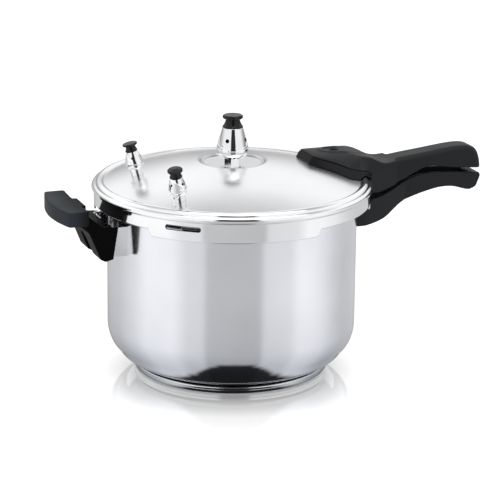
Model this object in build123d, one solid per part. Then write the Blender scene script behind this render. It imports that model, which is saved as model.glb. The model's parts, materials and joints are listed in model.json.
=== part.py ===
from build123d import *
import math
import os

# Bayonet-lid pressure cooker, 24 cm body, in millimetres.
# Origin: centre of the base's underside. +Z is up, and the long handles point along +X.
os.makedirs("parts", exist_ok=True)

# Driving dimensions
POT_R = 120.0          # outside radius of the body
WALL = 2.5             # body wall
BASE_T = 7.0           # thickness of the bonded base disc
BASE_R = 94.0          # radius of the base disc
CORNER_R = 39.0        # outside radius of the bottom corner
POT_TOP = 176.0        # height of the body's rim
LUG_COUNT = 3          # bayonet lugs on the body and on the lid
LUG_CENTRE = 11.0      # direction of the first pair of lugs, degrees
POT_LUG_SPAN = 46.0    # degrees of each body lug
LID_LUG_SPAN = 72.0    # degrees of each lid lug
POT_LUG_R = 128.5      # how far the body lugs reach
POT_LUG_Z = (165.3, 168.6)
LID_LUG_R = 123.5      # how far in the lid lugs reach
LID_LOW_Z = 158.0      # bottom of the skirt at the lugs
LID_LUG_Z = (162.0, 164.6)  # underside and top of the lid lugs
LID_CUT_Z = 164.8      # bottom of the skirt between the lugs
SKIRT_R = 132.5        # outside radius of the lid's skirt
SHEET = 2.0            # lid thickness
BEAD_R = 134.7         # widest radius of the lid
DOME_R = 382.8         # radius of the lid's dome
DOME_TOP = 205.0       # height that the dome would reach on the axis
DOME_C = DOME_TOP - DOME_R
CREASE_R = 123.0       # where the dome meets the ring
RECESS_R = 31.8        # lip of the central recess
RECESS_Z = 201.9       # floor of the central recess
CLEAR = 0.1            # fit between pieces that are fixed together
REGULATOR_Z = 207.0    # bottom of the regulator weight
WEIGHT_H = 29.2        # height of the regulator weight
WEIGHT_HOLE_TURN = -132.8
VENT_HOLE_R = 5.0      # hole in the lid for the steam pipe
VALVES = {"front": (107.5, -137.2), "left": (92.0, 172.2)}  # radius and direction of each safety valve
VALVE_SHANK_R = 5.0
VALVE_SEAT_TOP = 7.0   # heights along a safety valve's own axis, from the lid's surface
VALVE_BELL_TOP = 24.0
VALVE_KNOB_H = 8.2
NUT_FLATS = 12.0       # across flats of the nut inside the lid
FLOAT_X = 105.0        # pressure float, along the handle
FLOAT_TRAVEL = 3.0     # rise of the float, and drop of the lock pin
BUSH_R = 5.0           # threaded sleeve that guides the float
PIVOT_X = 121.5        # rocker pivot
LOCK_X = 138.0         # lock pin
LOCK_R = 2.0
ROCKER_Z = 193.6       # height of the rocker pivot
ROCKER_T = 1.6         # thickness of the rocker's lever
ROCKER_CRANK = 2.0     # how far the float's half of the lever stands above the pivot
ROCKER_ENDS = (-21.5, 19.3)
PIVOT_R = 1.5
LEVER = LOCK_X - PIVOT_X
ROCKER_TILT = math.degrees(math.atan(FLOAT_TRAVEL / 2 / LEVER))
LOCK_HEAD_Z = 193.75   # top of the lock pin's head
LOCK_HEAD_T = 1.2
HANDLE_LOW_Z = 166.0   # underside of the lid handle at the rim
HANDLE_SCREW_X = 153.0
BASE_SHELL = 7.0       # height of the lid handle's lower shell above the dome
CAVITY_Y = 12.5        # half width of the hollow in the lid handle
CROWN_R = 72.0         # radius across the top of the lid handle
CROWN_Z = 207.2        # highest line of the lid handle
GRIP_ROUND = 7.0       # rounding of the grip's top edges
PANEL_RISE = 0.8       # raised oval round the indicator
ARM_Z = (187.3, 189.1)  # lid bracket's arm
PLATE_T = 2.0          # lid bracket's plate on the dome
RIVET_R = 2.0
RIVETS = ((90.0, -7.0), (90.0, 7.0))
WINDOW = {"direction": -130.2, "span": 15.0, "low": 167.8, "high": 172.8}
SCREW_R = 2.5
BRACKET_T = 2.0
LOWER = {"reach": 126.0, "half": 20.0, "low": 137.0, "high": 156.8, "screw_z": 148.0}
HELPER = {"reach": 131.0, "half": 31.0, "low": 128.0, "high": 156.0, "screw_z": 136.0}
HELPER_Z = (162.6, 176.8)  # underside and top of the helper handle's bar


def save(name, shape):
    """Writes one sub-part as its own STEP file."""
    export_step(shape, f"parts/{name}.step")


def dome(radius, offset=0.0):
    """Height of the lid's dome, or of a shell that far from it, at a distance from the axis."""
    return DOME_C + math.sqrt((DOME_R + offset) ** 2 - radius ** 2)


def outline(*curves):
    """Flat face from curves that join end to end."""
    return make_face([edge for curve in curves for edge in curve.edges()])


def turned(*curves):
    """Solid of revolution about +Z from curves given as (radius, height)."""
    return revolve(Plane.XZ * outline(*curves), axis=Axis.Z)


def turned_points(*points):
    """Solid of revolution from straight runs between (radius, height) points."""
    return turned(Polyline(*points, close=True))


def tube(outer, inner, low, high):
    """Hollow cylinder about the Z axis."""
    return turned_points((inner, low), (outer, low), (outer, high), (inner, high))


def rod(radius, low, high):
    """Cylinder about the Z axis between two heights."""
    return Pos(0, 0, (low + high) / 2) * Cylinder(radius, high - low)


def block(x, y, z):
    """Box from its (low, high) along each axis."""
    size = [pair[1] - pair[0] for pair in (x, y, z)]
    middle = [(pair[0] + pair[1]) / 2 for pair in (x, y, z)]
    return Pos(*middle) * Box(*size)


def hexagon(across_flats, low, high):
    """Hexagonal prism about the Z axis."""
    face = RegularPolygon(across_flats / 2, 6, major_radius=False)
    return Pos(0, 0, low) * extrude(face, high - low)


def ring_sector(outer, inner, low, high, centre, span):
    """Part of a ring, centred on a direction in degrees."""
    corners = ((inner, low), (outer, low), (outer, high), (inner, high))
    section = Plane.XZ * outline(Polyline(*corners, close=True))
    return Rot(0, 0, centre - span / 2) * revolve(section, axis=Axis.Z, revolution_arc=span)


def shell_ball(offset):
    """Ball whose surface lies that far outside the dome."""
    return Pos(0, 0, DOME_C) * Sphere(DOME_R + offset)


def side_cut(curves, half_width):
    """Solid of a side outline, (distance along X, height), spread to both sides of the XZ plane."""
    return extrude(Plane.XZ * outline(*curves), half_width, both=True)


def tapered_plan(points, low, high, taper, rounding):
    """Plan outline extruded upwards, narrowing by the taper angle."""
    face = fillet(make_face(Polyline(*points, close=True)).vertices(), rounding)
    return Pos(0, 0, low) * extrude(face, high - low, taper=taper)


def spring(radius, wire, low, high, turns):
    """Open coil about the Z axis."""
    path = Helix((high - low - wire) / turns, high - low - wire, radius)
    coil = sweep(Plane(path @ 0, z_dir=path % 0) * Circle(wire / 2), path)
    return Pos(0, 0, low + wire / 2) * coil


# Body of the cooker

def pot_shell():
    inner_corner = CORNER_R - WALL
    corner_x = POT_R - CORNER_R
    corner_z = BASE_T + CORNER_R
    half = math.sqrt(0.5)
    rim_mid = POT_R - WALL / 2
    rim_z = POT_TOP - WALL / 2
    vessel = turned(
        Line((0, BASE_T), (corner_x, BASE_T)),
        ThreePointArc(
            (corner_x, BASE_T),
            (corner_x + CORNER_R * half, corner_z - CORNER_R * half),
            (POT_R, corner_z),
        ),
        Line((POT_R, corner_z), (POT_R, rim_z)),
        ThreePointArc((POT_R, rim_z), (rim_mid, POT_TOP), (POT_R - WALL, rim_z)),
        Line((POT_R - WALL, rim_z), (POT_R - WALL, corner_z)),
        ThreePointArc(
            (POT_R - WALL, corner_z),
            (corner_x + inner_corner * half, corner_z - inner_corner * half),
            (corner_x, BASE_T + WALL),
        ),
        Line((corner_x, BASE_T + WALL), (0, BASE_T + WALL)),
        Line((0, BASE_T + WALL), (0, BASE_T)),
    )
    for number in range(LUG_COUNT):
        centre = LUG_CENTRE + number * 360 / LUG_COUNT
        vessel += ring_sector(POT_LUG_R, POT_R - WALL / 2, *POT_LUG_Z, centre, POT_LUG_SPAN)
    return vessel


def base_disc():
    edge = 1.2
    return turned_points((0, 0), (BASE_R - edge, 0), (BASE_R, edge), (BASE_R, BASE_T - edge),
                         (BASE_R - edge, BASE_T), (0, BASE_T))


def wall_bracket(side, sizes):
    """Pressed sheet box that is spot-welded to the body and carries a handle's screw."""
    reach, half_width, screw_z = (sizes[key] for key in ("reach", "half", "screw_z"))
    low, high = (sizes[key] for key in ("low", "high"))
    inside = POT_R - 8
    box = block((inside, reach), (-half_width, half_width), (low, high))
    hollow_half = half_width - BRACKET_T
    hollow = block((inside - 1, reach - BRACKET_T), (-hollow_half, hollow_half), (low - 1, high + 1))
    bracket = box - hollow - rod(POT_R + 0.02, low - 1, high + 1)
    hole = Pos(reach, 0, screw_z) * Rot(0, 90, 0) * Cylinder(SCREW_R + CLEAR, 10)
    return Rot(0, 0, 0 if side > 0 else 180) * (bracket - hole)


def cross_screw(side, head_x, tip_x, screw_z, shank_r, head_r):
    """Pan-head screw along X, with its head on the outside and a cross slot."""
    head_h = 3.0
    head = Pos(head_x + head_h / 2, 0, 0) * Rot(0, 90, 0) * Cylinder(head_r, head_h)
    shank = Pos((head_x + tip_x) / 2, 0, 0) * Rot(0, 90, 0) * Cylinder(shank_r, head_x - tip_x)
    slot_x = (head_x + 1.4, head_x + 4)
    slots = block(slot_x, (-3, 3), (-0.5, 0.5)) + block(slot_x, (-0.5, 0.5), (-3, 3))
    screw = head + shank - slots
    return Rot(0, 0, 0 if side > 0 else 180) * Pos(0, 0, screw_z) * screw


def cross_nut(side, low_x, high_x, screw_z, bore_r):
    """Square nut behind a wall bracket."""
    nut = block((low_x, high_x), (-6, 6), (screw_z - 6, screw_z + 6))
    nut -= Pos((low_x + high_x) / 2, 0, screw_z) * Rot(0, 90, 0) * Cylinder(bore_r, high_x - low_x + 2)
    return Rot(0, 0, 0 if side > 0 else 180) * nut


def lower_handle():
    """Long handle on the body: its root wraps the bracket, and its grip is open along the top."""
    profile = [
        Polyline((112, 134.6), (112, 157.3), (134, 157.3), (134, 160.6), (137, 160.6)),
        Spline((137, 160.6), (143, 161.4), (154, 164.4), (168, 169.2), (176, 172.6), (186, 176.2),
               (201, 178.4), (220, 178.2), (257, 174.4)),
        Polyline((257, 174.4), (258.4, 171.5), (254, 160.9)),
        Spline((254, 160.9), (246, 158.0), (233, 161.2), (217.5, 163.0), (197.5, 159.6), (177, 153.8),
               (164, 147.8), (153.5, 141.2), (139, 136.4), (126, 134.6)),
        Line((126, 134.6), (112, 134.6)),
    ]
    near_side = [(112, -30), (128, -30), (150, -25), (176, -15.5), (260, -14.5)]
    far_side = [(x, -y) for x, y in reversed(near_side)]
    handle = side_cut(profile, 60) & tapered_plan(near_side + far_side, 120, 185, 2.0, 2.0)
    handle -= rod(POT_R + 1.0, 100, 200)
    handle -= block((100, LOWER["reach"] + 0.3), (-LOWER["half"] - 0.4, LOWER["half"] + 0.4), (100, 200))
    channel = [
        Spline((180, 166.0), (196, 172.0), (218, 173.5), (246, 170.5)),
        Polyline((246, 170.5), (246, 190), (180, 190), (180, 166.0)),
    ]
    handle -= side_cut(channel, 9.0)
    pocket_x = LOWER["reach"] + 8
    handle -= Pos(pocket_x + 30, 0, LOWER["screw_z"]) * Rot(0, 90, 0) * Cylinder(6.0, 60)
    handle -= Pos(pocket_x, 0, LOWER["screw_z"]) * Rot(0, 90, 0) * Cylinder(SCREW_R + CLEAR, 60)
    # two ribs that hold the lock pin
    for y in (-4.6, 4.6):
        handle += block((LOCK_X - 4, LOCK_X + 4), (y - 1.4, y + 1.4), (158, 164.8))
    return handle


def helper_handle():
    """Short handle opposite: a broad bar on a leg that stands on its wall bracket."""
    low, high = HELPER_Z
    bar = extrude(outline(
        ThreePointArc((-174.5, -42), (-181.5, 0), (-174.5, 42)),
        Line((-174.5, 42), (-155, 42)),
        ThreePointArc((-155, 42), (-156.5, 0), (-155, -42)),
        Line((-155, -42), (-174.5, -42)),
    ), high - low)
    bar = Pos(0, 0, low) * bar
    bar = fillet(bar.edges().filter_by(Axis.Z), 2.5)
    bar += block((-160, -150.5), (-15, 15), (low, high - 1.5))
    reach = HELPER["reach"] + 0.2
    cheek_y = HELPER["half"] + 0.3
    leg = side_cut([Polyline(
        (-129.5, 126), (-137, 124), (-142, 126.5), (-147, 139), (-153, 153), (-161, 159.5), (-170, 163),
        (-170, 170), (-158, 170), (-152, 168.5), (-140, 158), (-124.5, 156.4), close=True)], cheek_y + 1.7)
    leg -= block((-reach, -100), (-cheek_y, cheek_y), (100, 200))
    arch_r = 7.0
    arch_x = reach + 4
    arch = block((-200, -arch_x), (-arch_r, arch_r), (110, 140))
    arch += Pos(-arch_x - 20, 0, 140) * Rot(0, 90, 0) * Cylinder(arch_r, 40)
    hole = Pos(-reach, 0, HELPER["screw_z"]) * Rot(0, 90, 0) * Cylinder(SCREW_R + CLEAR, 20)
    under_bar = block((-200, -100), (-50, 50), (110, 147.5))
    return bar + (leg - (arch & under_bar) - hole)


# Lid

def lid_shell():
    inner = -SHEET
    skirt_in = SKIRT_R - SHEET
    recess_low = RECESS_Z - SHEET
    profile = turned(
        Polyline((0, RECESS_Z), (29.5, RECESS_Z), (RECESS_R, dome(RECESS_R))),
        ThreePointArc((RECESS_R, dome(RECESS_R)), (80, dome(80)), (CREASE_R, dome(CREASE_R))),
        ThreePointArc((CREASE_R, dome(CREASE_R)), (127.5, 186.3), (131.5, 183.0)),
        ThreePointArc((131.5, 183.0), (BEAD_R, 179.6), (SKIRT_R, 176.2)),
        Polyline((SKIRT_R, 176.2), (SKIRT_R, LID_LOW_Z), (skirt_in, LID_LOW_Z), (skirt_in, 181.2),
                 (129.3, 182.3), (122.5, dome(122.5, inner))),
        ThreePointArc((122.5, dome(122.5, inner)), (80, dome(80, inner)), (31.4, dome(31.4, inner))),
        Polyline((31.4, dome(31.4, inner)), (29.0, recess_low), (0, recess_low), (0, RECESS_Z)),
    )
    cut_span = 360 / LUG_COUNT - LID_LUG_SPAN
    for number in range(LUG_COUNT):
        centre = LUG_CENTRE + number * 360 / LUG_COUNT
        opposite = centre + 180 / LUG_COUNT
        profile += ring_sector(skirt_in + 0.5, LID_LUG_R, *LID_LUG_Z, centre, LID_LUG_SPAN)
        profile -= ring_sector(SKIRT_R + 3, LID_LUG_R - 2, LID_LOW_Z - 1, LID_CUT_Z, opposite, cut_span)
    # window in the skirt that lets the gasket bulge out if everything else is blocked
    profile -= ring_sector(SKIRT_R + 5, SKIRT_R - 5, WINDOW["low"], WINDOW["high"],
                           WINDOW["direction"], WINDOW["span"])
    profile -= rod(VENT_HOLE_R, 190, 210)
    profile -= Pos(FLOAT_X, 0, 0) * rod(BUSH_R + CLEAR, 170, 215)
    for radius, direction in VALVES.values():
        profile -= valve_frame(radius, direction) * rod(VALVE_SHANK_R + CLEAR, -8, 8)
    for x, y in RIVETS:
        profile -= Pos(x, y, 0) * rod(RIVET_R + 0.02, 170, 215)
    return profile


def valve_frame(radius, direction):
    """Frame on the dome whose Z axis is the dome's normal."""
    lean = math.degrees(math.asin(radius / DOME_R))
    return Rot(0, 0, direction) * Pos(radius, 0, dome(radius)) * Rot(0, lean, 0)


def lid_envelope():
    """Everything below the lid's outside, with a small gap, for cutting what stands on it."""
    gap = 0.1
    return turned(
        Polyline((0, 150), (135.2, 150), (135.2, 181.2), (132.4, 184.2), (129.8, 186.3), (127.4, 187.0),
                 (124.6, 186.6), (122.4, dome(122.4, gap))),
        ThreePointArc((122.4, dome(122.4, gap)), (80, dome(80, gap)), (0, dome(0, gap))),
        Line((0, dome(0, gap)), (0, 150)),
    )


def mirrored_plan(points, z):
    """Face at a height from the (x, half width) points of one side."""
    near = [(x, -half) for x, half in points]
    far = [(x, half) for x, half in reversed(points)]
    return Pos(0, 0, z) * make_face(Polyline(*near, *far, close=True))


def handle_profile(rise=0.0):
    """Side outline of the lid handle, with its top raised by some amount."""
    top = [(254.5, 196.5), (249.0, 201.2), (240, 202.8), (226, 202.2), (202, 199.4), (176, 196.4),
           (165, 194.8), (153, 193.7), (145, 196.0), (136, 200.6), (124, 203.8), (111, 206.2), (78, 207.2)]
    raised = [(x, z + rise) for x, z in top]
    return [
        Polyline(raised[-1], (68, 205.1 + rise), (50, 205.1 + rise), (50, HANDLE_LOW_Z),
                 (146, HANDLE_LOW_Z)),
        Spline((146, HANDLE_LOW_Z), (152, 167.8), (160, 169.8), (173, 174.4), (184, 179.6), (195, 184.0),
               (206, 185.2), (217, 183.4), (228, 182.2), (246.6, 180.4), (257.4, 179.6)),
        Polyline((257.4, 179.6), (256.6, 188), raised[0]),
        Spline(*raised),
    ]


def handle_crown(rise=0.0):
    """Long round bar whose upper side gives the handle its rounded top."""
    return Pos(160, 0, CROWN_Z - CROWN_R) * Rot(0, 90, 0) * Cylinder(CROWN_R + rise, 240)


def handle_block():
    """Outside form of the lid handle before it is split into its two shells."""
    low_z = 186
    foot = [(66, 19), (77, 32.5), (103, 50.3), (119, 41.5), (133, 28), (165, 19)]
    crown = [(77, 15), (83, 18), (110, 23), (120, 23), (136, 19), (165, 15)]
    nose = loft([mirrored_plan(foot, low_z), mirrored_plan(crown, 208)], ruled=True)
    nose += Pos(0, 0, HANDLE_LOW_Z - 1) * extrude(mirrored_plan(foot, 0), low_z - HANDLE_LOW_Z + 1)
    grip_plan = Polyline((130, -17), (262, -17), (262, 17), (130, 17), close=True)
    grip = Pos(0, 0, 160) * extrude(make_face(grip_plan), 56, taper=4.0)
    outside = side_cut(handle_profile(), 70) & handle_crown()
    grip = grip & outside
    long_edges = [edge for edge in grip.edges()
                  if edge.length > 60 and edge.center().Z > 192 and abs(edge.center().Y) > 5]
    grip = fillet(long_edges, GRIP_ROUND)
    grip &= tapered_plan([(130, -18), (260, -18), (260, 18), (130, 18)], 160, 216, 4.0, 7.0)
    form = (outside & nose) + grip
    panel = Pos(112, 0, 200) * extrude(Ellipse(25, 13), 20)
    panel = panel & side_cut(handle_profile(PANEL_RISE), 70) & handle_crown(PANEL_RISE)
    return form + panel - lid_envelope()


def handle_cavity():
    """Hollow inside the lid handle that holds the bracket, the rocker and the top of the lock pin."""
    steps = ((84, 130, 199.2), (129, 141, 196.7), (140, 142.5, 194.2), (142, 160, 191.5))
    cavity = Part()
    for low_x, high_x, roof in steps:
        cavity += block((low_x, high_x), (-CAVITY_Y, CAVITY_Y), (ARM_Z[0], roof))
    return cavity


def handle_bores():
    """Holes through the lid handle for the indicator, the lock pin, its screw and the rocker's pin."""
    window = Pos(FLOAT_X, 0, 0) * rod(4.0, 190, 215)
    lock = Pos(LOCK_X, 0, 0) * rod(LOCK_R + 0.06, 150, 190)
    screw = Pos(HANDLE_SCREW_X, 0, 0) * (rod(SCREW_R + CLEAR, 150, 190) + rod(5.2, 150, 172.0))
    pivot = Pos(PIVOT_X, 0, ROCKER_Z) * Rot(90, 0, 0) * Cylinder(PIVOT_R + 0.02, 30)
    return window + lock + screw + pivot


def upper_handle(form):
    rim = rod(135.3, 150, 215)
    underside = [
        Spline((184, 182.5), (197, 188.5), (213, 190.5), (247, 186.5)),
        Polyline((247, 186.5), (247, 168), (184, 168), (184, 182.5)),
    ]
    handle = form - (shell_ball(BASE_SHELL) & rim) - handle_cavity() - handle_bores()
    # sunken frame round the indicator's hole
    handle -= block((FLOAT_X - 11, FLOAT_X + 9), (-7, 7), (206.2, 215))
    return handle - side_cut(underside, 10.0)


def upper_handle_base(form):
    rim = rod(135.2, 150, 215)
    pocket = block((82, 140), (-CAVITY_Y, CAVITY_Y), (150, 199.2))
    return ((form & shell_ball(BASE_SHELL)) & rim) - pocket - handle_bores()


def lid_bracket():
    gap = 0.05
    plate = block((85, 121), (-10, 10), (180, 200)) & shell_ball(PLATE_T + gap)
    plate -= shell_ball(gap)
    arm = block((112, 160), (-10, 10), ARM_Z)
    bracket = plate + (arm - shell_ball(gap))
    bracket -= Pos(FLOAT_X, 0, 0) * rod(7.5, 170, 215)
    bracket -= Pos(LOCK_X, 0, 0) * rod(5.6, 170, 215)
    bracket -= Pos(HANDLE_SCREW_X, 0, 0) * rod(SCREW_R, 170, 215)
    for x, y in RIVETS:
        bracket -= Pos(x, y, 0) * rod(RIVET_R + 0.02, 170, 215)
    return bracket


def lid_bracket_rivets():
    """Rivets through the bracket and the lid, with a head on each side."""
    rivets = []
    for x, y in RIVETS:
        radius = math.hypot(x, y)
        over = dome(radius - 4, PLATE_T + 0.1)
        under = dome(radius + 4, -SHEET - 0.1)
        rivet = rod(RIVET_R, under - 0.5, over + 0.5)
        rivet += rod(3.4, over, over + 1.2) + rod(3.4, under - 1.2, under)
        rivets.append(Pos(x, y, 0) * rivet)
    return Compound(rivets)


def upper_handle_screw():
    slots = block((-3, 3), (-0.5, 0.5), (168, 170.1)) + block((-0.5, 0.5), (-3, 3), (168, 170.1))
    return Pos(HANDLE_SCREW_X, 0, 0) * (rod(4.6, 168.9, 171.9) - slots + rod(SCREW_R - 0.02, 171.9, 190.8))


def rocker():
    """Cranked, forked lever that turns the float's rise into the lock pin's drop."""
    half = ROCKER_T / 2
    inner, outer = ROCKER_ENDS
    lever = block((inner, 0), (-4.5, 4.5), (ROCKER_CRANK - half, ROCKER_CRANK + half))
    lever += block((0, outer), (-4.5, 4.5), (-half, half))
    lever += Rot(90, 0, 0) * Cylinder(3.0, 9)
    lever -= block((inner - 1, -LEVER + 3.2), (-2.6, 2.6), (-5, 5))
    lever -= Rot(90, 0, 0) * Cylinder(PIVOT_R + 0.05, 40)
    return Pos(PIVOT_X, 0, ROCKER_Z) * Rot(0, -ROCKER_TILT, 0) * lever


def rocker_pin():
    return Pos(PIVOT_X, 0, ROCKER_Z) * Rot(90, 0, 0) * Cylinder(PIVOT_R, 29)


def lock_pin():
    pin = rod(LOCK_R, 165.4, LOCK_HEAD_Z) + rod(3.8, LOCK_HEAD_Z - LOCK_HEAD_T, LOCK_HEAD_Z)
    return Pos(LOCK_X, 0, 0) * pin


def lock_spring():
    return Pos(LOCK_X, 0, 0) * spring(3.0, 0.6, ARM_Z[0] + 0.05, LOCK_HEAD_Z - LOCK_HEAD_T - 0.05, 3)


def float_bush():
    """Threaded sleeve that guides the float, with its flange shaped to the lid's underside."""
    flange = Pos(FLOAT_X, 0, 0) * rod(9.0, 180.0, 195) & shell_ball(-SHEET - 0.1)
    sleeve = Pos(FLOAT_X, 0, 0) * rod(BUSH_R, 180.0, 190.5)
    return flange + sleeve - Pos(FLOAT_X, 0, 0) * rod(2.86, 170, 200)


def float_pin():
    shoulder_z = ROCKER_Z + ROCKER_CRANK - ROCKER_T / 2 - FLOAT_TRAVEL / 2 - 0.45
    foot = rod(5.5, 172.5, 174.5) + rod(2.8, 174.5, 190.6)
    pin = foot + rod(4.0, 190.6, shoulder_z) + rod(2.0, shoulder_z, 203.0)
    return Pos(FLOAT_X, 0, 0) * pin


def float_seal():
    return Pos(FLOAT_X, 0, 0) * tube(5.4, 2.85, 174.5, 175.9)


def vent_pipe():
    """Steam pipe with a flange under the lid and a ball seat for the regulator."""
    low = RECESS_Z - SHEET
    pipe = turned_points((0, low - 3), (8, low - 3), (8, low), (4.9, low), (4.9, 207.5), (3.5, 208.5),
                         (3.5, 219), (2.2, 221.5), (0, 221.5))
    return pipe - rod(1.5, 190, 225)


def vent_nut():
    return hexagon(14, RECESS_Z, RECESS_Z + 4.2) - rod(4.95, 195, 215)


def vent_filter():
    """Slotted cap that keeps food out of the steam pipe."""
    low = RECESS_Z - SHEET
    cap = tube(10.5, 8.1, low - 8, low - 0.05) + rod(10.5, low - 9.5, low - 8)
    for turn in range(6):
        cap -= Rot(0, 0, turn * 30) * block((-12, 12), (-0.8, 0.8), (low - 10, low - 4))
    return cap


def gasket():
    """Rubber sealing ring that sits on the body's rim and springs out against the skirt."""
    return turned_points((116.4, 176.4), (116.8, POT_TOP), (126.5, POT_TOP), (126.5, 171.5), (130.1, 171.5),
                         (130.1, 181.0), (129.0, 181.9), (118.5, 181.9), (116.4, 180.9))


def knob(base_r, neck_r, top_r, height, lobes=6):
    """Flared moulded knob with a scalloped top, standing on z = 0."""
    disc_low = height * 0.66
    body = turned(
        Line((0, 0), (base_r, 0)),
        Line((base_r, 0), (base_r, height * 0.06)),
        ThreePointArc(
            (base_r, height * 0.06),
            (neck_r + 0.35 * (base_r - neck_r), height * 0.32),
            (neck_r, height * 0.6),
        ),
        Line((neck_r, height * 0.6), (top_r - 1, disc_low)),
        ThreePointArc((top_r - 1, disc_low), (top_r, height * 0.8), (top_r - 1.2, height * 0.93)),
        Line((top_r - 1.2, height * 0.93), (0, height)),
        Line((0, height), (0, 0)),
    )
    for turn in range(lobes):
        notch = Pos(top_r + 0.5, 0, 0) * rod(top_r * 0.19, disc_low - 1, height + 1)
        body -= Rot(0, 0, turn * 360 / lobes) * notch
    return body


def regulator_weight():
    top = REGULATOR_Z + WEIGHT_H
    bell = turned(
        Line((10.6, REGULATOR_Z), (13.6, REGULATOR_Z + 2.4)),
        ThreePointArc((13.6, REGULATOR_Z + 2.4), (15.4, REGULATOR_Z + 6.6), (14.6, REGULATOR_Z + 12.0)),
        ThreePointArc((14.6, REGULATOR_Z + 12.0), (12.6, REGULATOR_Z + 20.5), (10.0, top - 0.4)),
        Polyline((10.0, top - 0.4), (9.6, top), (2.55, top), (2.55, top - 8), (0, top - 8), (0, 222.0),
                 (2.3, 222.0), (3.9, 219.5), (3.9, 209.5), (8.0, 209.5), (8.0, REGULATOR_Z),
                 (10.6, REGULATOR_Z)),
    )
    for turn in range(4):
        hole = Pos(9.0, 0, 225) * Rot(0, 90, 0) * Cylinder(1.9, 10)
        bell -= Rot(0, 0, WEIGHT_HOLE_TURN + turn * 90) * hole
    return bell


def regulator_knob():
    top = REGULATOR_Z + WEIGHT_H
    stud = rod(2.5, top - 7.5, top + 0.5)
    return Pos(0, 0, top) * knob(9.9, 6.7, 9.8, 12.8) + stud


def valve_seat():
    """Threaded valve body through the lid, with a side vent above the dome."""
    bore = 1.8
    foot = -7.5
    seat = turned_points((bore, foot), (4.95, foot), (4.95, 0.02), (6.0, 0.02), (6.0, VALVE_SEAT_TOP),
                         (3.2, VALVE_SEAT_TOP), (3.2, 2.5), (bore, 2.5))
    return seat - Rot(0, 0, -20) * Pos(5, 0, 4.4) * Rot(0, 90, 0) * Cylinder(0.9, 4)


def valve_nut():
    return hexagon(NUT_FLATS, -5.6, -2.3) - rod(5.0, -10, 5)


def valve_bell():
    """Housing that holds the spring over the stem."""
    low = VALVE_SEAT_TOP
    top = VALVE_BELL_TOP
    bell = turned(
        Line((6.6, low), (8.0, low + 1.3)),
        ThreePointArc((8.0, low + 1.3), (8.7, low + 4.2), (8.2, low + 7.5)),
        ThreePointArc((8.2, low + 7.5), (7.0, low + 12.4), (5.3, top - 0.3)),
        Polyline((5.3, top - 0.3), (5.0, top), (1.75, top), (1.75, top - 2.2), (5.0, top - 2.2), (5.0, low),
                 (6.6, low)),
    )
    for turn in range(4):
        bell -= Rot(0, 0, -15 + turn * 90) * Pos(6.5, 0, low + 11.5) * Rot(0, 90, 0) * Cylinder(1.15, 6)
    return bell


def valve_stem():
    """Stem with the valve disc at its foot and a collar for the spring."""
    collar = VALVE_SEAT_TOP + 1.0
    return rod(1.6, 2.9, VALVE_BELL_TOP + 6) + rod(2.9, 2.9, 5.0) + rod(3.6, collar, collar + 1.2)


def valve_spring():
    collar = VALVE_SEAT_TOP + 2.2
    return spring(3.2, 0.7, collar + 0.05, VALVE_BELL_TOP - 2.25, 5)


def valve_knob():
    return Pos(0, 0, VALVE_BELL_TOP + 0.3) * (knob(5.9, 4.4, 7.2, VALVE_KNOB_H) - rod(1.62, -1, 5.72))


save("pot_shell", pot_shell())
save("base_disc", base_disc())
save("lower_handle", lower_handle())
save("lower_bracket", wall_bracket(1, LOWER))
save("lower_handle_screw", cross_screw(1, LOWER["reach"] + 8, 121, LOWER["screw_z"], SCREW_R - 0.02, 4.6))
save("lower_handle_nut", cross_nut(1, 121.0, LOWER["reach"] - 2, LOWER["screw_z"], SCREW_R))
save("helper_handle", helper_handle())
save("helper_bracket", wall_bracket(-1, HELPER))
save("helper_handle_screw", cross_screw(-1, HELPER["reach"] + 4.2, 122.5, HELPER["screw_z"],
                                        SCREW_R - 0.02, 4.6))
save("helper_handle_nut", cross_nut(-1, 125.0, HELPER["reach"] - 2, HELPER["screw_z"], SCREW_R))
save("gasket", gasket())
save("lid_shell", lid_shell())
lid_handle = handle_block()
save("upper_handle", upper_handle(lid_handle))
save("upper_handle_base", upper_handle_base(lid_handle))
save("lid_bracket", lid_bracket())
save("lid_bracket_rivets", lid_bracket_rivets())
save("upper_handle_screw", upper_handle_screw())
save("rocker", rocker())
save("rocker_pin", rocker_pin())
save("lock_pin", lock_pin())
save("lock_spring", lock_spring())
save("float_bush", float_bush())
save("float_pin", float_pin())
save("float_seal", float_seal())
save("vent_pipe", vent_pipe())
save("vent_nut", vent_nut())
save("vent_filter", vent_filter())
save("regulator_weight", regulator_weight())
save("regulator_knob", regulator_knob())
for side, (radius, direction) in VALVES.items():
    frame = valve_frame(radius, direction)
    save(f"{side}_valve_seat", frame * valve_seat())
    save(f"{side}_valve_nut", frame * valve_nut())
    save(f"{side}_valve_bell", frame * valve_bell())
    save(f"{side}_valve_stem", frame * valve_stem())
    save(f"{side}_valve_spring", frame * valve_spring())
    save(f"{side}_valve_knob", frame * valve_knob())
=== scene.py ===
"""Looks of a bayonet-lid pressure cooker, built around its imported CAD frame."""
import json
import math

import bmesh
import bpy
from mathutils import Matrix, Quaternion, Vector


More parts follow.
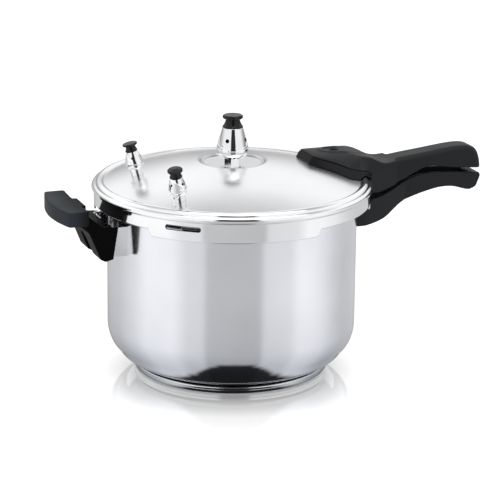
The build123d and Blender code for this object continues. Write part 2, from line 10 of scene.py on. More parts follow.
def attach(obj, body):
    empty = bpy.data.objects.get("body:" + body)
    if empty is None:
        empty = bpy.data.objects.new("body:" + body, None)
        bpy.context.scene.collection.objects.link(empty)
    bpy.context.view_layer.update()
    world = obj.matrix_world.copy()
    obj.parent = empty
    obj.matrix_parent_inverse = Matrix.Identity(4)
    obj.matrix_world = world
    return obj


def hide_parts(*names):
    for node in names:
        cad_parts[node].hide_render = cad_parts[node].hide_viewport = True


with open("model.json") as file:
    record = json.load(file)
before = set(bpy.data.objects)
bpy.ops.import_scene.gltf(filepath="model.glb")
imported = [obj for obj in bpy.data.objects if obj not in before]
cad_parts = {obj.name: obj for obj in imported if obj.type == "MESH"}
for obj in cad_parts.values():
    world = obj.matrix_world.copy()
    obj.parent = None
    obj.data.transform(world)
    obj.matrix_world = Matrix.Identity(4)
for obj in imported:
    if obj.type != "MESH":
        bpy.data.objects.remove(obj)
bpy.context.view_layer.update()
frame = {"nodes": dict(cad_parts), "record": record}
nodes = frame["nodes"]


# Camera

CAMERA_AZIMUTH = math.radians(-21.0)
CAMERA_ELEVATION = math.radians(16.25)
CAMERA_DISTANCE = 2.2
CAMERA_LENS = 164.0
AIM = Vector((0.0166, -0.0064, 0.1145))
CAMERA_ROLL = math.radians(0.7)


def make_camera():
    """Long-lens studio camera, a little above the lid and to the left of the handles."""
    back = Vector((
        math.sin(CAMERA_AZIMUTH) * math.cos(CAMERA_ELEVATION),
        -math.cos(CAMERA_AZIMUTH) * math.cos(CAMERA_ELEVATION),
        math.sin(CAMERA_ELEVATION),
    ))
    data = bpy.data.cameras.new("camera")
    data.lens = CAMERA_LENS
    data.sensor_width = 36.0
    camera = bpy.data.objects.new("camera", data)
    camera.location = AIM + back * CAMERA_DISTANCE
    camera.rotation_mode = "QUATERNION"
    camera.rotation_quaternion = (-back).to_track_quat("-Z", "Y") @ Quaternion((0, 0, 1), CAMERA_ROLL)
    bpy.context.collection.objects.link(camera)
    bpy.context.scene.camera = camera


# Material helpers

class Shader:
    """A node material with one Principled shader, and short calls for what feeds it."""

    def __init__(self, name, **constants):
        self.material = bpy.data.materials.new(name)
        self.material.use_nodes = True
        self.tree = self.material.node_tree
        self.shader = self.tree.nodes["Principled BSDF"]
        for socket, value in constants.items():
            self.shader.inputs[socket.replace("_", " ")].default_value = value

    def node(self, kind, **values):
        made = self.tree.nodes.new(kind)
        for key, value in values.items():
            if hasattr(made, key):
                setattr(made, key, value)
            else:
                made.inputs[key.replace("_", " ")].default_value = value
        return made

    def link(self, output, target):
        self.tree.links.new(output, target)

    def feed(self, output, socket):
        self.link(output, self.shader.inputs[socket])

    def position(self):
        """Place on the object, in its own metres."""
        return self.node("ShaderNodeTexCoord").outputs["Object"]

    def noise(self, vector, scale, detail=3.0, roughness=0.5):
        noise = self.node("ShaderNodeTexNoise", Scale=scale, Detail=detail, Roughness=roughness)
        self.link(vector, noise.inputs["Vector"])
        return noise.outputs["Fac"]

    def math(self, operation, first, second=None):
        made = self.node("ShaderNodeMath", operation=operation)
        for number, value in enumerate((first, second)):
            if value is None:
                continue
            if isinstance(value, (int, float)):
                made.inputs[number].default_value = value
            else:
                self.link(value, made.inputs[number])
        return made.outputs[0]

    def spread(self, value, low, high, from_low=0.3, from_high=0.7):
        """Maps a value from one range to another."""
        made = self.node("ShaderNodeMapRange")
        made.inputs["From Min"].default_value = from_low
        made.inputs["From Max"].default_value = from_high
        made.inputs["To Min"].default_value = low
        made.inputs["To Max"].default_value = high
        self.link(value, made.inputs["Value"])
        return made.outputs["Result"]

    def ramp(self, value, stops):
        made = self.node("ShaderNodeValToRGB")
        ramp = made.color_ramp
        ramp.elements[0].position, ramp.elements[0].color = stops[0][0], (*stops[0][1], 1)
        ramp.elements[1].position, ramp.elements[1].color = stops[-1][0], (*stops[-1][1], 1)
        for place, colour in stops[1:-1]:
            ramp.elements.new(place).color = (*colour, 1)
        self.link(value, made.inputs["Fac"])
        return made.outputs["Color"]

    def bump(self, height, strength, distance, below=None):
        made = self.node("ShaderNodeBump", Strength=strength, Distance=distance)
        self.link(height, made.inputs["Height"])
        if below is not None:
            self.link(below, made.inputs["Normal"])
        self.feed(made.outputs["Normal"], "Normal")
        return made.outputs["Normal"]

    def polar(self):
        """Distance from the Z axis and height, for marks that run round the object."""
        split = self.node("ShaderNodeSeparateXYZ")
        self.link(self.position(), split.inputs["Vector"])
        x_square = self.math("POWER", split.outputs["X"], 2.0)
        y_square = self.math("POWER", split.outputs["Y"], 2.0)
        radius = self.math("SQRT", self.math("ADD", x_square, y_square))
        return radius, split.outputs["Z"]

    def lines(self, across, pitch):
        """Fine lines at right angles to a coordinate, as a lathe or a polishing wheel leaves."""
        joined = self.node("ShaderNodeCombineXYZ")
        self.link(self.math("DIVIDE", across, pitch), joined.inputs["X"])
        return self.noise(joined.outputs["Vector"], 1.0, 4.0, 0.6)

    def blend(self, first, second, share):
        """First where share is 0, second where it is 1; second is a number."""
        kept = self.math("MULTIPLY", first, self.math("SUBTRACT", 1.0, share))
        return self.math("ADD", kept, self.math("MULTIPLY", share, second))

    def multiplied(self, first, second):
        """One colour times another."""
        made = self.node("ShaderNodeMix", data_type="RGBA", blend_type="MULTIPLY")
        made.inputs[0].default_value = 1.0
        self.link(first, made.inputs[6])
        self.link(second, made.inputs[7])
        return made.outputs[2]


# Where the lid's finish changes and where its painted shade lies, in metres from its middle.
RECESS_EDGE = (0.031, 0.036)
RIM_EDGE = (0.1225, 0.126)
LIP_BAND = (0.0265, 0.0345)
RECESS_ROUGHNESS = 0.08
RIM_ROUGHNESS = 0.07
LIP_PAINTED_SHADE = (0.62, 0.63, 0.65)
WHITE = (1.0, 1.0, 1.0)


def spun_aluminium(name, colour, low, high, strength, around, is_lid=False):
    """Polished aluminium with the faint rings of spinning; around says which coordinate the rings cross.

    The lid is brighter in its recess and round its rim, and darker along the lip of the recess, where shade
    is painted into its colour.
    """
    made = Shader(name, Metallic=1.0, Anisotropic=0.35)
    radius, height = made.polar()
    across = height if around == "height" else radius
    rings = made.lines(across, 0.0011)
    fine = made.lines(across, 0.00025)
    cloud = made.noise(made.position(), 14.0, 4.0)
    mixed = made.math("ADD", made.math("MULTIPLY", rings, 0.6), made.math("MULTIPLY", cloud, 0.4))
    rough = made.spread(mixed, low, high)
    dim = tuple(c * 0.93 for c in colour)
    tint = made.ramp(cloud, [(0.35, dim), (0.65, colour)])
    if is_lid:
        rough = made.blend(rough, RECESS_ROUGHNESS, made.spread(radius, 1.0, 0.0, *RECESS_EDGE))
        rough = made.blend(rough, RIM_ROUGHNESS, made.spread(radius, 0.0, 1.0, *RIM_EDGE))
        # Painted shade: the lip of the recess is darkened in colour, standing for the recess wall's dark
        # reflection.
        across_lip = made.spread(radius, 0.0, 1.0, *LIP_BAND)
        painted_lip_shade = made.ramp(across_lip, [(0.0, WHITE), (0.3, LIP_PAINTED_SHADE), (0.62, LIP_PAINTED_SHADE), (1.0, WHITE)])
        tint = made.multiplied(tint, painted_lip_shade)
    made.feed(rough, "Roughness")
    made.feed(tint, "Base Color")
    soft = made.bump(rings, strength, 0.00012)
    made.bump(fine, strength * 0.6, 0.00004, soft)
    tangent = made.node("ShaderNodeTangent", direction_type="RADIAL", axis="Z")
    made.feed(tangent.outputs["Tangent"], "Tangent")
    return made.material


def bright_metal(name, colour, low, high, grain=900.0, strength=0.03):
    """Plated or machined metal with a slightly uneven polish."""
    made = Shader(name, Metallic=1.0)
    cloud = made.noise(made.position(), 60.0, 4.0)
    made.feed(made.spread(cloud, low, high), "Roughness")
    dim = tuple(c * 0.9 for c in colour)
    made.feed(made.ramp(cloud, [(0.3, dim), (0.7, colour)]), "Base Color")
    made.bump(made.noise(made.position(), grain, 3.0), strength, 0.0001)
    return made.material


# Distances from the axis over which the painted light on a moulding's far end rises.
FAR_LIGHT_FROM = (0.158, 0.176)


def black_moulding(name, colour, low, high, grain, strength, specular, far_light=None):
    """Phenolic moulding: nearly black, with a fine pebbled skin and uneven gloss.

    worn gives the paler colour of its far end: painted light, laid on by distance from the axis.
    """
    made = Shader(name, Specular_IOR_Level=specular)
    place = made.position()
    cloud = made.noise(place, 35.0, 5.0)
    pebbles = made.noise(place, grain, 2.0)
    lighter = tuple(min(1.0, c * 1.3 + 0.001) for c in colour)
    tone = cloud
    stops = [(0.3, colour), (0.75, lighter)]
    if far_light is not None:
        radius, _height = made.polar()
        tone = made.spread(radius, 0.0, 1.0, *FAR_LIGHT_FROM)
        stops = [(0.0, colour), (1.0, far_light)]
    made.feed(made.ramp(tone, stops), "Base Color")
    made.feed(made.spread(cloud, low, high), "Roughness")
    made.bump(pebbles, strength, 0.0002)
    return made.material


def soft_rubber(name, colour):
    """Silicone seal with a dull, slightly dusty skin."""
    made = Shader(name, Sheen_Weight=0.1)
    cloud = made.noise(made.position(), 120.0, 4.0)
    darker = tuple(c * 0.75 for c in colour)
    made.feed(made.ramp(cloud, [(0.3, darker), (0.7, colour)]), "Base Color")
    made.feed(made.spread(cloud, 0.5, 0.7), "Roughness")
    made.bump(made.noise(made.position(), 1500.0), 0.08, 0.0002)
    return made.material


SLOT_MATERIALS = {
    "body_aluminium": spun_aluminium("body_aluminium", (0.85, 0.86, 0.905), 0.10, 0.17, 0.10, "height"),
    "base_aluminium": spun_aluminium("base_aluminium", (0.82, 0.83, 0.85), 0.12, 0.22, 0.15, "radius"),
    "lid_aluminium": spun_aluminium("lid_aluminium", (0.93, 0.935, 0.95), 0.19, 0.27, 0.08, "radius", True),
    "rivet_aluminium": bright_metal("rivet_aluminium", (0.80, 0.81, 0.83), 0.2, 0.35),
    "bracket_steel": bright_metal("bracket_steel", (0.86, 0.87, 0.88), 0.04, 0.09),
    "screw_steel": bright_metal("screw_steel", (0.66, 0.67, 0.69), 0.18, 0.32),
    "spring_steel": bright_metal("spring_steel", (0.58, 0.59, 0.61), 0.2, 0.3),
    "valve_chrome": bright_metal("valve_chrome", (0.90, 0.91, 0.92), 0.02, 0.05, 700.0, 0.01),
    "valve_brass": bright_metal("valve_brass", (0.78, 0.60, 0.30), 0.15, 0.28),
    "bakelite": black_moulding("bakelite", (0.0035, 0.0042, 0.006), 0.40, 0.50, 1400.0, 0.10, 0.24),
    # bakelite_base is a darker copy of the bakelite: painted shade for the lid handle's lower shell, which
    # lies in shadow.
    "bakelite_base": black_moulding("bakelite_base", (0.002, 0.002, 0.003), 0.40, 0.5, 1400.0, 0.10, 0.16),
    "knob_plastic": black_moulding("knob_plastic", (0.003, 0.003, 0.0035), 0.16, 0.26, 1600.0, 0.02, 0.3),
    "seal_rubber": soft_rubber("seal_rubber", (0.30, 0.30, 0.31)),
}


def paint(obj, slot):
    obj.data.materials.clear()
    obj.data.materials.append(SLOT_MATERIALS[slot])


def smooth_by_angle(obj, degrees):
    """Shades curved faces smoothly and keeps real edges sharp."""
    mesh = obj.data
    edited = bmesh.new()
    edited.from_mesh(mesh)
    limit = math.radians(degrees)
    for face in edited.faces:
        face.smooth = True
    for edge in edited.edges:
        edge.smooth = len(edge.link_faces) == 2 and edge.calc_face_angle(0.0) < limit
    edited.to_mesh(mesh)
    edited.free()


slot_of = {row["node"]: row["material_slot"] for row in frame["record"]["subparts"]}
for node, obj in nodes.items():
    paint(obj, slot_of[node])


# Pieces that stand for CAD nodes

# Millimetres, as in the CAD model.
POT_R = 120.0
WALL = 2.5
BASE_T = 7.0
BASE_R = 94.0
CORNER_R = 39.0
POT_TOP = 176.0
LUG_CENTRE = 11.0
POT_LUG_SPAN = 46.0
LID_LUG_SPAN = 72.0
POT_LUG_R = 128.5
POT_LUG_Z = (165.3, 168.6)
LID_LUG_R = 123.5
LID_LOW_Z = 158.0
LID_LUG_Z = (162.0, 164.6)
LID_CUT_Z = 164.8
SKIRT_R = 132.5
SHEET = 2.0
BEAD_R = 134.7
DOME_R = 382.8
DOME_C = 205.0 - DOME_R
CREASE_R = 123.0
RECESS_R = 31.8
RECESS_Z = 201.9
MM = 0.001
TURNS = 400            # faces round a turned piece
CORE_R = 0.4           # tiny hole that closes a turned piece on its axis
VENT_HOLE_R = 5.0
RECESS_ROUND_R = (29.2, 30.6, 31.2, 33.0)  # radii of the rounded lip of the recess
SHOULDER = ((127.5, 186.3), (131.5, 183.0))  # ring between the dome and the bead
BEAD_Z = (179.6, 176.4)  # widest and lowest heights of the bead
LINING_Z = 181.2       # top of the skirt's inside


def link(name, mesh):
    piece = bpy.data.objects.new(name, mesh)
    bpy.context.collection.objects.link(piece)
    return piece


def dome(radius, offset=0.0):
    """Height of the lid's dome at a distance from the axis."""
    return DOME_C + math.sqrt((DOME_R + offset) ** 2 - radius ** 2)


def arc(start, middle, end, count):
    """Points along the circle through three points, without the last one."""
    (ax, ay), (bx, by), (cx, cy) = start, middle, end
    d = 2 * (ax * (by - cy) + bx * (cy - ay) + cx * (ay - by))
    a2, b2, c2 = ax * ax + ay * ay, bx * bx + by * by, cx * cx + cy * cy
    ux = (a2 * (by - cy) + b2 * (cy - ay) + c2 * (ay - by)) / d
    uy = (a2 * (cx - bx) + b2 * (ax - cx) + c2 * (bx - ax)) / d
    first = math.atan2(ay - uy, ax - ux)
    turn = [(math.atan2(y - uy, x - ux) - first) % math.tau for x, y in (middle, end)]
    sweep = turn[1] if turn[0] <= turn[1] else turn[1] - math.tau
    radius = math.hypot(ax - ux, ay - uy)
    angles = [first + sweep * n / count for n in range(count)]
    return [(ux + radius * math.cos(angle), uy + radius * math.sin(angle)) for angle in angles]


def run(start, end, count):
    """Points along a straight run, without the last one."""
    return [(start[0] + (end[0] - start[0]) * n / count, start[1] + (end[1] - start[1]) * n / count)
            for n in range(count)]


def lathe(name, section):
    """Closed body of revolution. section(degrees) gives the (radius, height) outline in millimetres."""
    rings = [section(360 * step / TURNS) for step in range(TURNS)]
    size = len(rings[0])
    points = []
    for step, ring in enumerate(rings):
        angle = math.tau * step / TURNS
        cos, sin = math.cos(angle) * MM, math.sin(angle) * MM
        points += [(radius * cos, radius * sin, height * MM) for radius, height in ring]
    faces = []
    for step in range(TURNS):
        here, there = step * size, (step + 1) % TURNS * size
        for n in range(size):
            m = (n + 1) % size
            faces.append((here + n, there + n, there + m, here + m))
    mesh = bpy.data.meshes.new(name)
    mesh.from_pydata(points, [], faces)
    edited = bmesh.new()
    edited.from_mesh(mesh)
    bmesh.ops.remove_doubles(edited, verts=edited.verts, dist=2e-6)
    bmesh.ops.dissolve_degenerate(edited, edges=edited.edges, dist=1e-7)
    bmesh.ops.recalc_face_normals(edited, faces=edited.faces)
    edited.to_mesh(mesh)
    edited.free()
    piece = link(name, mesh)
    smooth_by_angle(piece, 30.0)
    return piece


def off_centre(angle, centres, span, ease):
    """1 inside any of the sectors, 0 outside, and an even slope over ease degrees at their ends."""
    away = min(abs((angle - centre + 180) % 360 - 180) for centre in centres)
    share = min(1.0, max(0.0, (span / 2 + ease / 2 - away) / ease))
    return share * share * (3 - 2 * share)


LUG_CENTRES = [LUG_CENTRE + 120 * n for n in range(3)]


def mix(a, b, share):
    return a + (b - a) * share


def pot_section(angle):
    corner_x, corner_z = POT_R - CORNER_R, BASE_T + CORNER_R
    inner_r = CORNER_R - WALL
    half = math.sqrt(0.5)
    lug = off_centre(angle, LUG_CENTRES, POT_LUG_SPAN, 1.2)
    reach = mix(POT_R, POT_LUG_R, lug)
    low, high = POT_LUG_Z
    step = min(0.5, (reach - POT_R) / 2)
    rim = POT_TOP - WALL / 2
    points = run((CORE_R, BASE_T + 0.05), (corner_x, BASE_T + 0.05), 12)
    points += arc((corner_x, BASE_T), (corner_x + CORNER_R * half, corner_z - CORNER_R * half),
                  (POT_R, corner_z), 40)
    points += run((POT_R, corner_z), (POT_R, low), 30)
    points += [(POT_R, low), (reach - step, low), (reach, low + 0.5)]
    points += [(reach, high - 0.5), (reach - step, high), (POT_R, high)]
    points += arc((POT_R, rim), (POT_R - WALL / 2, POT_TOP), (POT_R - WALL, rim), 10)
    points += run((POT_R - WALL, rim), (POT_R - WALL, corner_z), 20)
    points += arc((POT_R - WALL, corner_z), (corner_x + inner_r * half, corner_z - inner_r * half),
                  (corner_x, BASE_T + WALL), 30)
    points += run((corner_x, BASE_T + WALL), (CORE_R, BASE_T + WALL), 8)
    points.append((CORE_R, BASE_T + WALL))
    return points


def lid_section(angle):
    inner = -SHEET
    skirt_in = SKIRT_R - SHEET
    recess_low = RECESS_Z - SHEET
    lug = off_centre(angle, LUG_CENTRES, LID_LUG_SPAN, 2.4)
    low = mix(LID_CUT_Z, LID_LOW_Z, lug)
    tip = mix(skirt_in, LID_LUG_R, lug)
    floor_r, round_r, wall_r, dome_r = RECESS_ROUND_R
    bead_z, bead_low_z = BEAD_Z
    points = run((VENT_HOLE_R, RECESS_Z), (floor_r, RECESS_Z), 6)
    points += arc((floor_r, RECESS_Z), (round_r, RECESS_Z + 0.45), (wall_r, dome(wall_r) - 0.5), 6)
    points += arc((wall_r, dome(wall_r) - 0.5), (RECESS_R, dome(RECESS_R) - 0.05),
                  (dome_r, dome(dome_r)), 5)
    points += [(r, dome(r)) for r in [mix(dome_r, CREASE_R - 0.8, n / 60) for n in range(61)]]
    points += arc((CREASE_R, dome(CREASE_R)), *SHOULDER, 16)
    points += arc(SHOULDER[1], (BEAD_R, bead_z), (SKIRT_R + 0.25, bead_low_z), 20)
    points += run((SKIRT_R, bead_low_z - 0.4), (SKIRT_R, low + 1.6), 12)
    points += arc((SKIRT_R, low + 1.6), (SKIRT_R - 0.5, low + 0.45), (SKIRT_R - 1.6, low), 6)
    under, over = (mix(low + 1.2, height, lug) for height in LID_LUG_Z)
    points += [(SKIRT_R - 1.6, low), (skirt_in, low + 0.1), (skirt_in, under)]
    points += [(tip, under), (tip - 0.001, over + 0.01)]
    points += run((skirt_in, over + 0.02), (skirt_in, LINING_Z), 8)
    points += [(skirt_in, LINING_Z), (skirt_in - 1.2, LINING_Z + 1.1)]
    points += [(r, dome(r, inner)) for r in [mix(122.5, 31.4, n / 40) for n in range(41)]]
    points += [(29.0, recess_low), (VENT_HOLE_R, recess_low)]
    return points


def base_section(_angle):
    """Disc with rounded edges and a fine groove round its side."""
    edge = 1.2
    points = run((CORE_R, 0), (BASE_R - edge, 0), 6)
    points += arc((BASE_R - edge, 0), (BASE_R - 0.35, 0.35), (BASE_R, edge), 6)
    points += run((BASE_R, edge), (BASE_R, BASE_T - 3.4), 2)
    points += arc((BASE_R, BASE_T - 3.4), (BASE_R - 0.5, BASE_T - 3.1), (BASE_R, BASE_T - 2.8), 6)
    points += run((BASE_R, BASE_T - 2.8), (BASE_R, BASE_T - edge), 2)
    points += arc((BASE_R, BASE_T - edge), (BASE_R - 0.35, BASE_T - 0.35), (BASE_R - edge, BASE_T), 6)
    points += [(BASE_R - edge, BASE_T), (CORE_R, BASE_T)]
    return points


def rounded_block(name, frame_of_block, size, corner):
    """Box with rounded edges, for cutting a window; sizes in metres."""
    mesh = bpy.data.meshes.new(name)
    edited = bmesh.new()
    bmesh.ops.create_cube(edited, size=1.0, matrix=Matrix.Diagonal((*size, 1)))
    bmesh.ops.bevel(edited, geom=edited.edges[:], offset=corner, segments=6, affect="EDGES", profile=0.5)
    edited.to_mesh(mesh)
    edited.free()
    block = link(name, mesh)
    block.matrix_world = frame_of_block
    return block


def apply_modifiers(piece):
    """Keeps the evaluated mesh and drops the modifiers."""
    graph = bpy.context.evaluated_depsgraph_get()
    made = bpy.data.meshes.new_from_object(piece.evaluated_get(graph))
    piece.modifiers.clear()
    piece.data = made


def cut(piece, cutter):
    modifier = piece.modifiers.new("cut", "BOOLEAN")
    modifier.operation = "DIFFERENCE"
    modifier.solver = "EXACT"
    modifier.object = cutter
    bpy.context.view_layer.update()
    apply_modifiers(piece)
    bpy.data.objects.remove(cutter)


WINDOW_ANGLE = math.radians(-130.2)
WINDOW_Z = (167.8, 172.8)
WINDOW_LENGTH = 34.7
WINDOW_CORNER = 2.2


def stand_for(piece, node):
    """The piece shows in place of that CAD node, on its body and in its finish."""
    body = next(name for name, members in frame["record"]["behaviour"]["bodies"].items() if node in members)
    paint(piece, slot_of[node])
    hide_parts(node)
    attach(piece, body)


def make_metalwork():
    pot = lathe("spun_body", pot_section)
    stand_for(pot, "pot_shell")
    lid = lathe("spun_lid", lid_section)
    low, high = WINDOW_Z
    middle = (low + high) / 2 * MM
    place = Matrix.Rotation(WINDOW_ANGLE, 4, "Z") @ Matrix.Translation((SKIRT_R * MM, 0, middle))
    size = (0.02, WINDOW_LENGTH * MM, (high - low) * MM)
    window = rounded_block("window", place, size, WINDOW_CORNER * MM)
    cut(lid, window)
    smooth_by_angle(lid, 30.0)
    stand_for(lid, "lid_shell")
    base = lathe("base_plate", base_section)
    stand_for(base, "base_disc")


SKIN_VOXEL = 0.7       # millimetres


def moulded(name, node, rounds):
    """Moulding with rounded edges, made from a CAD solid; more rounds ease its edges further."""
    mesh = nodes[node].data.copy()
    mesh.name = name
    piece = link(name, mesh)
    remesh = piece.modifiers.new("skin", "REMESH")
    remesh.mode = "VOXEL"
    remesh.voxel_size = SKIN_VOXEL * MM
    remesh.use_smooth_shade = True
    ease = piece.modifiers.new("ease", "SMOOTH")
    ease.factor = 0.5
    ease.iterations = rounds
    bpy.context.view_layer.update()
    apply_modifiers(piece)
    stand_for(piece, node)
    return piece


# Darker copy of the bakelite for the side grip: painted shade over the whole grip, with painted light paler
# toward its far end.
SIDE_GRIP_PAINTED_SHADE = black_moulding("side_grip_painted_shade", (0.0012, 0.0012, 0.0015), 0.40, 0.5, 1400.0, 0.10, 0.05,
                                 (0.026, 0.030, 0.036))


def make_mouldings():
    moulded("lid_handle_top", "upper_handle", 22)
    moulded("lid_handle_base", "upper_handle_base", 3)
    moulded("pot_handle", "lower_handle", 16)
    grip = moulded("side_grip", "helper_handle", 10)
    grip.data.materials.clear()
    grip.data.materials.append(SIDE_GRIP_PAINTED_SHADE)


# Painted shade: a near-black copy of the chrome for the insides of small holes.
HOLE_PAINTED_SHADE = bright_metal("valve_chrome_shade", (0.02, 0.02, 0.02), 0.5, 0.6)
HOLE_START = 3.5       # nearest that the walls of the holes come to a bell's axis
WEIGHT_HOLES = {"height": 225.0, "first_turn": -132.8, "bore": 1.9}
VALVE_HOLES = {"height": 18.5, "first_turn": -15.0, "bore": 1.15}
VALVES = {"front_valve_bell": (107.5, -137.2), "left_valve_bell": (92.0, 172.2)}  # radius and direction


def shade_holes(node, frame_of_axis, height, first_turn, bore):
    """Paints shade on the walls of the four small holes through a chrome bell, for their dark inside."""
    mesh = nodes[node].data
    mesh.materials.append(HOLE_PAINTED_SHADE)
    back = (nodes[node].matrix_world.inverted() @ frame_of_axis).inverted()
    ways = [Vector((math.cos(a), math.sin(a), 0)) for a in
            [math.radians(first_turn + 90 * n) for n in range(4)]]
    for face in mesh.polygons:
        place = back @ face.center
        place.z -= height * MM
        for way in ways:
            along_way = place.dot(way)
            if along_way > HOLE_START * MM and (place - way * along_way).length < (bore + 0.05) * MM:
                face.material_index = 1


def axis_frame(radius, direction):
    """Frame on the dome, with Z along its normal, like the safety valves' own."""
    lean = math.asin(radius / DOME_R)
    return (Matrix.Rotation(math.radians(direction), 4, "Z")
            @ Matrix.Translation((radius * MM, 0, dome(radius) * MM)) @ Matrix.Rotation(lean, 4, "Y"))


def paint_shade_in_bells():
    shade_holes("regulator_weight", Matrix.Identity(4), **WEIGHT_HOLES)
    for bell, (radius, direction) in VALVES.items():
        shade_holes(bell, axis_frame(radius, direction), **VALVE_HOLES)


make_metalwork()
make_mouldings()
paint_shade_in_bells()


# Studio

TOWARD_CAMERA = CAMERA_AZIMUTH - math.pi / 2


def stage_mesh(name, corners, faces, material):
    mesh = bpy.data.meshes.new(name)
    mesh.from_pydata(corners, [], faces)
    obj = link(name, mesh)
    mesh.materials.append(material)
    return obj


def reflector_material():
    """Glow read from the mesh, on the upper side only; the underside is clear."""
    material = bpy.data.materials.new("reflector")
    material.use_nodes = True
    tree = material.node_tree
    tree.nodes.clear()
    tone = tree.nodes.new("ShaderNodeAttribute")
    tone.attribute_name = "glow"
    glow = tree.nodes.new("ShaderNodeEmission")
    clear = tree.nodes.new("ShaderNodeBsdfTransparent")
    side = tree.nodes.new("ShaderNodeNewGeometry")
    mixed = tree.nodes.new("ShaderNodeMixShader")
    end = tree.nodes.new("ShaderNodeOutputMaterial")
    tree.links.new(tone.outputs["Color"], glow.inputs["Color"])
    tree.links.new(side.outputs["Backfacing"], mixed.inputs[0])
    tree.links.new(glow.outputs["Emission"], mixed.inputs[1])
    tree.links.new(clear.outputs["BSDF"], mixed.inputs[2])
    tree.links.new(mixed.outputs["Shader"], end.inputs["Surface"])
    return material


def plan(distance, beside=0.0, turn=0.0):
    """Point on the table that far toward the camera and beside the line to it, turned about the axis."""
    angle = TOWARD_CAMERA + math.radians(turn)
    out, side = (math.cos(angle), math.sin(angle)), (-math.sin(angle), math.cos(angle))
    return (out[0] * distance + side[0] * beside, out[1] * distance + side[1] * beside)


# The table, in metres: its own glow rises and its mirror finish fades between these distances; the weaker
# glow near the foot is painted shadow.
FLOOR_HALF = 6.0
FLOOR_SHIFT = 0.02
PAINTED_SHADOW_EDGE = (0.082, 0.135)
MIRROR_EDGE = (0.12, 0.18)


def make_floor():
    """Pale glossy table that glows out to white; its glow is painted weaker near the foot, a painted shadow
    that holds its shadow close.
    """
    made = Shader("floor", Roughness=0.04)
    made.shader.inputs["Base Color"].default_value = (0.42, 0.42, 0.425, 1)
    made.shader.inputs["Emission Color"].default_value = (1, 1, 1, 1)
    radius, _height = made.polar()
    # Painted shadow: the table's glow is weaker near the foot.
    made.feed(made.spread(radius, 0.20, 0.66, *PAINTED_SHADOW_EDGE), "Emission Strength")
    made.feed(made.spread(radius, 0.40, 0.0, *MIRROR_EDGE), "Metallic")
    corners = [(x * FLOOR_HALF, y * FLOOR_HALF, 0) for x, y in ((-1, -1), (1, -1), (1, 1), (-1, 1))]
    floor = stage_mesh("floor", corners, [(0, 1, 2, 3)], made.material)
    floor.location = (*plan(FLOOR_SHIFT), 0)


# Tone that the body shows at each angle round it from the camera's side, and toward its foot.
BODY_TONES = [(-90, 0.35), (-76, 0.60), (-62, 0.66), (-50, 0.85), (-42, 1.05), (-27, 1.05), (-20, 0.83),
              (-12.5, 0.80), (-10.5, 0.58), (13.5, 0.56), (15.5, 0.80), (28, 0.85), (33, 1.02), (41, 1.0),
              (47, 0.92), (55, 0.72), (62, 0.63), (78, 0.66), (90, 0.42)]
FOOT_TONES = [(0.0, 0.62), (0.06, 0.78), (0.17, 0.92), (0.30, 1.0), (3.0, 1.0)]


def along(stops, value):
    """Straight-line reading from (place, value) stops."""
    for (low, first), (high, second) in zip(stops, stops[1:]):
        if value <= high:
            return mix(first, second, max(0.0, (value - low) / (high - low)))
    return stops[-1][1]


REFLECTOR_Z = 0.0006
REFLECTOR_GAP = 0.001    # between the body's wall or foot and the card
REFLECTOR_REACH = (0.006, 0.012, 0.02, 0.03, 0.045, 0.06, 0.09, 0.13, 0.17, 0.3, 0.6, 1.2, 2.4)
# The hump is painted shade: a dark patch on the card for the shadowed table under the body's foot, seen in
# its reflection.
HUMP_TURN = 3.0          # middle and width of the dark hump at the foot, degrees
HUMP_WIDTH = 22.0
HUMP_HEIGHT = 0.068      # metres along the card
HUMP_SINK = 0.030
HUMP_EDGE = 0.008


def reflected_tone(away, turn):
    """Brightness of the card at a distance beyond the body's wall, with a dark hump of painted shade at the
    foot.
    """
    hump = math.exp(-((turn - HUMP_TURN) / HUMP_WIDTH) ** 2)
    black = 1.0 - min(1.0, max(0.0, (away - (HUMP_HEIGHT * hump - HUMP_SINK)) / HUMP_EDGE))
    return along(BODY_TONES, turn) * along(FOOT_TONES, away) * (1.0 - 0.97 * black)


def make_reflector():
    """Card on the table, seen only in reflections, whose tones give the polished body its soft bands."""
    wall = POT_R * MM + REFLECTOR_GAP
    inside = (BASE_R * MM + REFLECTOR_GAP, 0.102, 0.110, wall)
    turns = range(-88, 89)
    corners, places = [], []
    for turn in turns:
        foot = plan(wall, 0, turn)
        way = plan(1.0, 0, 2 * turn)
        row = [(plan(distance, 0, turn), distance - wall) for distance in inside]
        row += [((foot[0] + way[0] * away, foot[1] + way[1] * away), away) for away in REFLECTOR_REACH]
        corners += [(*place, REFLECTOR_Z) for place, _away in row]
        places += [(away, turn) for _place, away in row]
    size = len(inside) + len(REFLECTOR_REACH)
    faces = [(n * size + m, n * size + m + 1, (n + 1) * size + m + 1, (n + 1) * size + m)
             for n in range(len(turns) - 1) for m in range(size - 1)]
    obj = stage_mesh("reflector", corners, faces, reflector_material())
    glow = obj.data.color_attributes.new("glow", "FLOAT_COLOR", "POINT")
    for point, (away, turn) in zip(glow.data, places):
        tone = reflected_tone(away, turn)
        blue = 0.03 * max(0.0, 1.0 - away / 0.2)
        point.color = (tone * (1 - blue), tone, tone * (1 + blue), 1)
    obj.visible_camera = False
    obj.visible_diffuse = False
    obj.visible_shadow = False
    obj.visible_transmission = False


def area_light(name, place, target, size, energy):
    data = bpy.data.lights.new(name, "AREA")
    data.shape = "RECTANGLE"
    data.size, data.size_y = size
    data.energy = energy
    light = bpy.data.objects.new(name, data)
    light.location = place
    way = Vector(target) - Vector(place)
    light.rotation_mode = "QUATERNION"
    light.rotation_quaternion = way.to_track_quat("-Z", "Y")
    bpy.context.collection.objects.link(light)


# Brightness of the room behind the object, by the sine of the height that it is seen at.
BACK_TONES = ((0.10, 0.62), (0.24, 0.98), (0.34, 1.30), (0.62, 1.30), (0.80, 0.74))
# Behind the object the room is dimmed, more on the far side from this direction than on the near side.
DIM_AZIMUTH = math.radians(-21.0)
FAR_DIM = 0.24
NEAR_DIM = 0.13


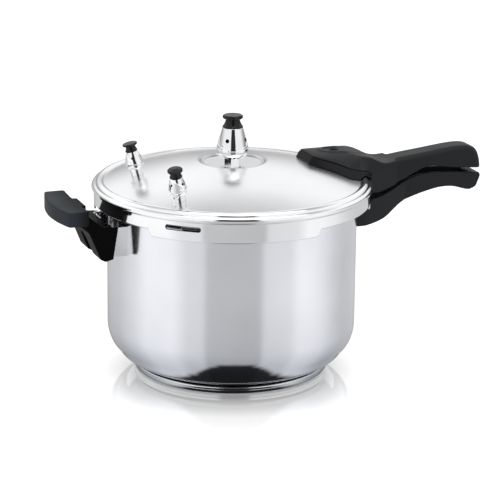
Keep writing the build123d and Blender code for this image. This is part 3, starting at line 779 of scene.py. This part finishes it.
def make_world():
    """White room with a dark gap behind the camera, which only reflections see."""
    world = bpy.data.worlds.new("studio")
    world.use_nodes = True
    tree = world.node_tree
    back = tree.nodes["Background"]

    def math_node(operation, *values):
        made = tree.nodes.new("ShaderNodeMath")
        made.operation = operation
        for number, value in enumerate(values):
            if isinstance(value, (int, float)):
                made.inputs[number].default_value = value
            else:
                tree.links.new(value, made.inputs[number])
        return made.outputs[0]

    def step(value, low, high):
        made = tree.nodes.new("ShaderNodeMapRange")
        made.interpolation_type = "SMOOTHSTEP"
        made.inputs["From Min"].default_value = low
        made.inputs["From Max"].default_value = high
        tree.links.new(value, made.inputs["Value"])
        return made.outputs["Result"]

    place = tree.nodes.new("ShaderNodeTexCoord")
    turn = tree.nodes.new("ShaderNodeVectorRotate")
    turn.rotation_type = "Z_AXIS"
    turn.inputs["Angle"].default_value = -TOWARD_CAMERA
    tree.links.new(place.outputs["Generated"], turn.inputs["Vector"])
    split = tree.nodes.new("ShaderNodeSeparateXYZ")
    tree.links.new(turn.outputs["Vector"], split.inputs["Vector"])
    azimuth = math_node("ARCTAN2", split.outputs["Y"], split.outputs["X"])
    gap_middle, gap_half, edge = math.radians(5.5), math.radians(18.0), math.radians(3.0)
    away = math_node("ABSOLUTE", math_node("SUBTRACT", azimuth, gap_middle))
    outside_gap = step(away, gap_half - edge, gap_half + edge)
    above_gap = step(split.outputs["Z"], 0.70, 0.85)
    lit = math_node("MAXIMUM", outside_gap, above_gap)
    room = tree.nodes.new("ShaderNodeValToRGB")
    tones = room.color_ramp.elements
    tones[0].position, tones[0].color = 0.0, (0.52, 0.53, 0.55, 1)
    tones[1].position, tones[1].color = 1.0, (0.9, 0.9, 0.9, 1)
    for height, tone in BACK_TONES:
        tones.new(height).color = (tone, tone, tone, 1)
    tree.links.new(split.outputs["Z"], room.inputs["Fac"])
    behind = step(math_node("ABSOLUTE", azimuth), math.radians(70), math.radians(110))
    near = math_node("ADD", math_node("MULTIPLY", split.outputs["X"], math.cos(DIM_AZIMUTH)),
                     math_node("MULTIPLY", split.outputs["Y"], math.sin(DIM_AZIMUTH)))
    far = math_node("MULTIPLY", near, -1.0)
    dim = math_node("ADD", math_node("MULTIPLY", step(near, 0.06, 0.17), NEAR_DIM),
                    math_node("MULTIPLY", step(far, 0.05, 0.16), FAR_DIM))
    tone_fall = math_node("MULTIPLY", behind, math_node("SUBTRACT", 1.0, room.outputs["Color"]))
    fall = math_node("ADD", tone_fall, math_node("MULTIPLY", behind, dim))
    lit = math_node("MULTIPLY", lit, math_node("SUBTRACT", 1.0, fall))
    glow = math_node("ADD", math_node("MULTIPLY", lit, 0.97), 0.03)
    path = tree.nodes.new("ShaderNodeLightPath")
    seen = math_node("MAXIMUM", path.outputs["Is Camera Ray"], path.outputs["Is Diffuse Ray"])
    strength = math_node("MAXIMUM", glow, seen)
    tree.links.new(strength, back.inputs["Strength"])
    back.inputs["Color"].default_value = (1, 1, 1, 1)
    bpy.context.scene.world = world


make_camera()
make_floor()
make_reflector()
make_world()
area_light("top_softbox", (0.1, -0.2, 1.6), (0, 0, 0.1), (1.4, 1.4), 6)

scene = bpy.context.scene
scene.view_settings.view_transform = "Standard"
